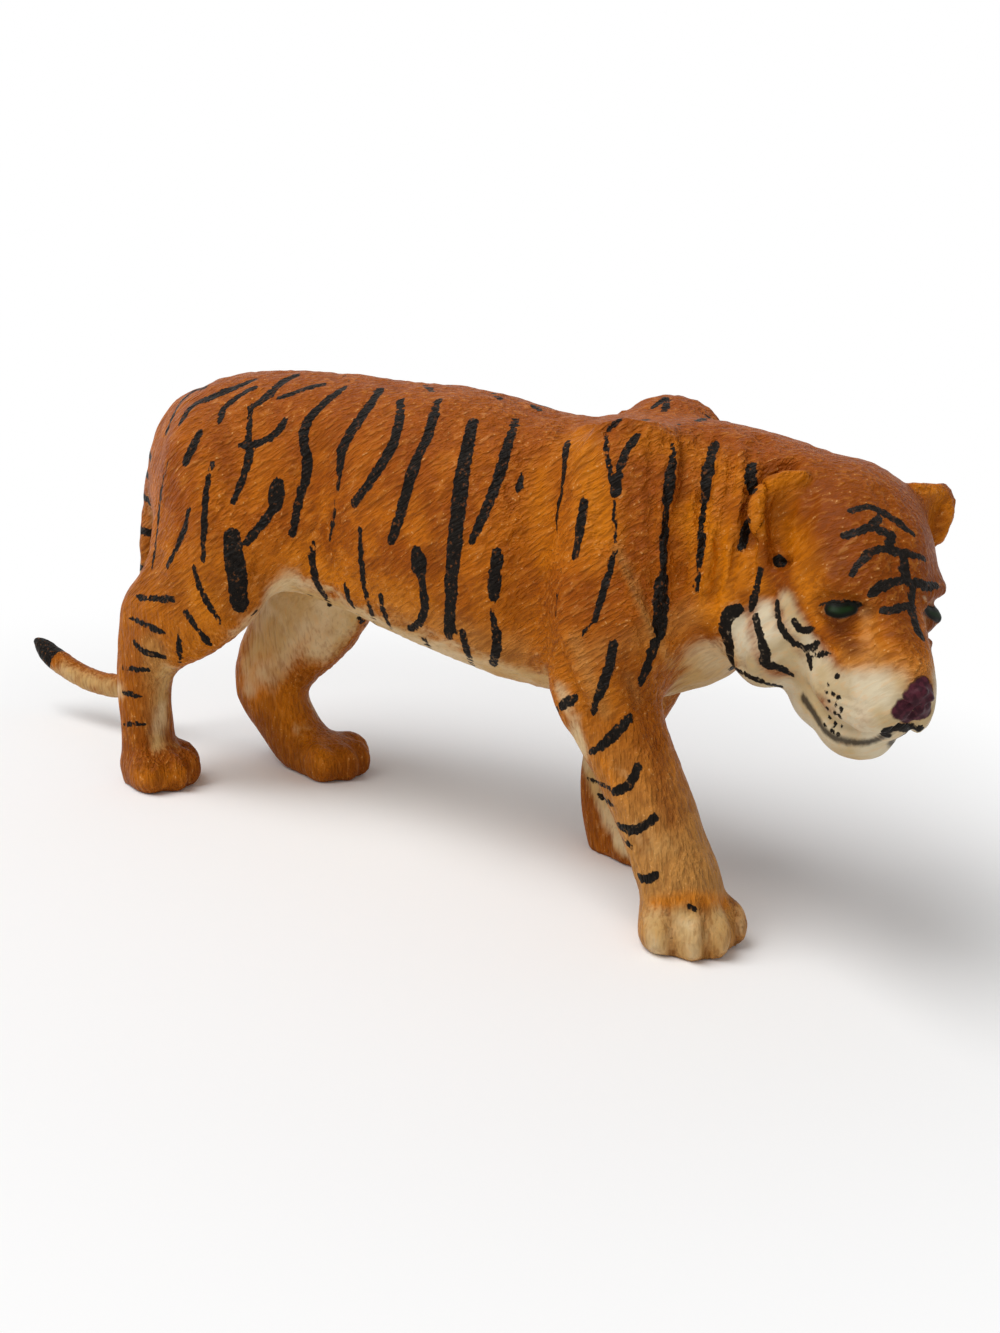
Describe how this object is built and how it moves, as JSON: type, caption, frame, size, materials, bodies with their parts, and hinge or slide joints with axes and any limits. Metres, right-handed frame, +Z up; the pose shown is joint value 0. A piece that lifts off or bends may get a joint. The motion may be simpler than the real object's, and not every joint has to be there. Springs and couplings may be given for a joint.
{
  "type": "tiger figurine",
  "caption": "Solid plastic figurine of a walking tiger with its head lowered and turned to one side, standing on four flat paws.",
  "frame": {"origin": "centre of the bounding box on the ground plane, under the belly", "axes": "+X the way the animal walks, +Y to its left, +Z up"},
  "size_m": [0.139, 0.035, 0.0582],
  "materials": {
    "painted_pvc": "semi-matt paint over moulded soft plastic"
  },
  "bodies": {
    "root": {"tiger_body": "painted_pvc"}
  },
  "joints": []
}
